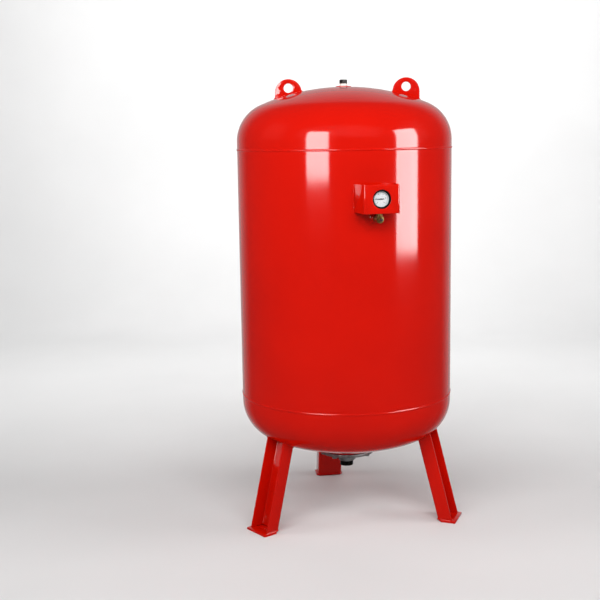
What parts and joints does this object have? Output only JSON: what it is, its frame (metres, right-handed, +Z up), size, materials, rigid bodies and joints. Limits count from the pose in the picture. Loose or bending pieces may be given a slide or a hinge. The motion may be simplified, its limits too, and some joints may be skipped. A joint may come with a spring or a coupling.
{
  "type": "expansion vessel",
  "caption": "Upright red steel expansion vessel on splayed channel legs, with lifting lugs, a guarded pressure gauge, a charging valve and a bolted bottom flange that holds its bladder.",
  "frame": {"origin": "on the floor, at the centre of the circle through the anchor holes, under the vessel's axis", "axes": "+Z up along the vessel's axis; the pressure gauge faces -Y"},
  "size_m": [0.7762, 0.8766, 1.553],
  "materials": {
    "red_enamel": "gloss powder coat on steel",
    "galvanised_steel": "zinc plated, satin",
    "dark_steel": "plain steel hexagon nut, dulled",
    "butyl_rubber": "moulded, matt",
    "brass": "turned brass, slightly dulled",
    "gauge_black": "black gloss lacquer on steel",
    "dial_white": "white lacquered aluminium",
    "pointer_black": "black lacquered aluminium",
    "gauge_glass": "clear polished",
    "cap_black": "moulded, knurled",
    "nylon_white": "moulded nylon",
    "copper": "soft copper"
  },
  "bodies": {
    "vessel": {"shell": "red_enamel", "upper_head": "red_enamel", "lower_head": "red_enamel", "upper_weld_bead": "red_enamel", "lower_weld_bead": "red_enamel", "shell_weld_bead": "red_enamel", "leg_left": "red_enamel", "leg_right": "red_enamel", "leg_back": "red_enamel", "foot_plate_left": "red_enamel", "foot_plate_right": "red_enamel", "foot_plate_back": "red_enamel", "lifting_lug_left": "red_enamel", "lifting_lug_right": "red_enamel", "neck_ring": "red_enamel", "bladder": "butyl_rubber", "cover_flange": "galvanised_steel", "water_socket": "galvanised_steel", "water_nipple": "dark_steel", "flange_bolts": "galvanised_steel", "flange_washers": "galvanised_steel", "top_boss": "red_enamel", "bladder_hanger": "galvanised_steel", "hanger_seal": "nylon_white", "hanger_nut": "dark_steel", "gauge_socket": "red_enamel", "valve_tee": "brass", "valve_body": "brass", "valve_core": "brass", "gauge_guard": "red_enamel", "gauge_case": "gauge_black", "gauge_bezel": "gauge_black", "gauge_lens": "gauge_glass", "gauge_dial": "dial_white", "movement_frame": "brass", "bourdon_tube": "brass", "gauge_stem": "brass", "stem_washer": "copper"},
    "pointer": {"gauge_pointer": "pointer_black", "pinion_arbor": "brass"},
    "sector": {"sector_gear": "brass"},
    "link": {"bourdon_link": "brass"},
    "valve_pin": {"valve_pin": "galvanised_steel"},
    "cap_seal": {"cap_seal": "butyl_rubber"},
    "valve_cap": {"valve_cap": "cap_black"}
  },
  "joints": [
    {"name": "sector_swing", "type": "hinge", "parent": "vessel", "child": "sector", "pos_m": [0.00525, -0.435, 1.14991], "axis": [0, 1, 0], "range_deg": [-37.5, 7.5], "stiffness_Nm_per_rad": 0.05},
    {"name": "pointer_turn", "type": "hinge", "parent": "vessel", "child": "pointer", "pos_m": [0, -0.435, 1.159], "axis": [0, 1, 0], "range_deg": [-45, 225]},
    {"name": "link_swing", "type": "hinge", "parent": "sector", "child": "link", "pos_m": [0.00875, -0.436, 1.14385], "axis": [0, 1, 0], "range_deg": [-7.5, 37.5]},
    {"name": "valve_press", "type": "slide", "parent": "vessel", "child": "valve_pin", "axis": [0, 1, 0], "range_m": [0, 0.0015], "stiffness_N_per_m": 900, "springref_m": -0.003},
    {"name": "cap_travel", "type": "slide", "parent": "vessel", "child": "cap_seal", "axis": [0, -1, 0], "range_m": [0, 0.0039]},
    {"name": "cap_turn", "type": "hinge", "parent": "cap_seal", "child": "valve_cap", "pos_m": [0, -0.4455, 1.094], "axis": [0, -1, 0], "range_deg": [0, 1800]}
  ],
  "couplings": [
    {"joint": "pointer_turn", "follows": "sector_swing", "ratio": -6},
    {"joint": "link_swing", "follows": "sector_swing", "ratio": -1},
    {"joint": "cap_turn", "follows": "cap_travel", "rad_per_m": 7913.3}
  ]
}
